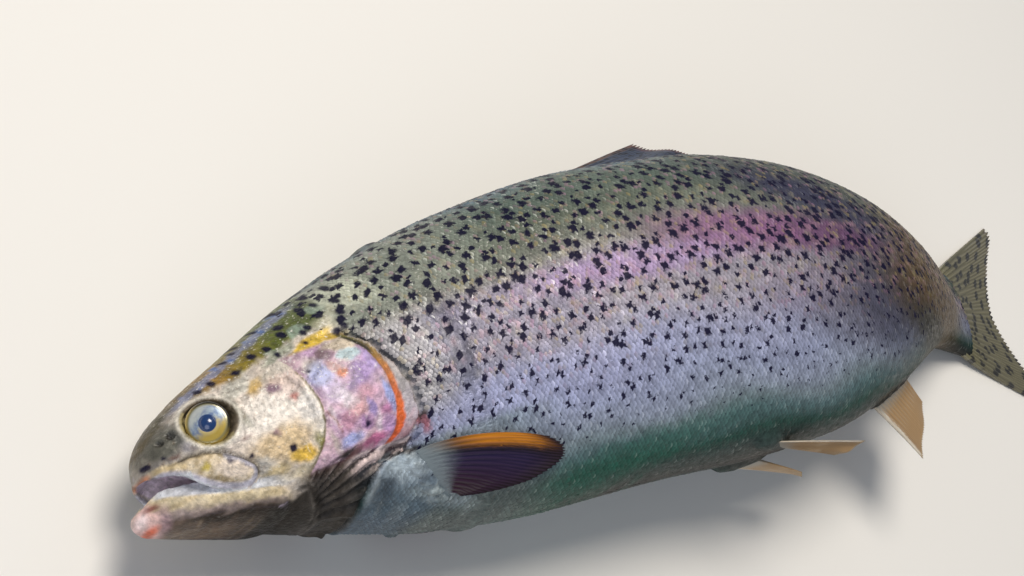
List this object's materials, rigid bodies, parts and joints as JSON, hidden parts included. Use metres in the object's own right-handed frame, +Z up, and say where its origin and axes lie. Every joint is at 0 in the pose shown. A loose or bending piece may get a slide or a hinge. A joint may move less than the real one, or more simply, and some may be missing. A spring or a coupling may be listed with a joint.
{
  "type": "rainbow trout fish model",
  "caption": "Still life-size model of a rainbow trout lying on its side, mouth slightly open, body gently arched, tail laid flat, fins folded back",
  "frame": {"origin": "middle of the bounding box in X and Y, on the floor plane the fish rests on", "axes": "+X from snout to tail, +Y towards the back fin, +Z up, out of the fish's left side"},
  "size_m": [0.4468, 0.1362, 0.0774],
  "materials": {
    "body_skin": "wet scaled fish skin, olive back with black spots, rose band, silver belly",
    "head_skin": "wet smooth skin, olive crown, silver cheek with small dark spots",
    "gill_cover_skin": "wet pearly pink and lavender",
    "throat_skin": "wet dark folds with pale streaks",
    "fin": "wet rayed web, dark with an amber leading edge",
    "eye": "clear wet eye, dark blue pupil, silver iris with a gold rim"
  },
  "bodies": {
    "root": {"head": "head_skin", "lower_jaw": "head_skin", "throat": "throat_skin", "upper_jaw_bone_left": "head_skin", "upper_jaw_bone_right": "head_skin", "gill_cover_left": "gill_cover_skin", "gill_cover_right": "gill_cover_skin", "eye_left": "eye", "eye_right": "eye", "trunk_front": "body_skin", "trunk_mid": "body_skin", "trunk_rear": "body_skin", "tail_stalk": "body_skin", "pectoral_fin_left": "fin", "pectoral_fin_right": "fin", "pelvic_fin_left": "fin", "pelvic_fin_right": "fin", "dorsal_fin": "fin", "adipose_fin": "fin", "anal_fin": "fin", "tail_fin": "fin"}
  },
  "joints": []
}
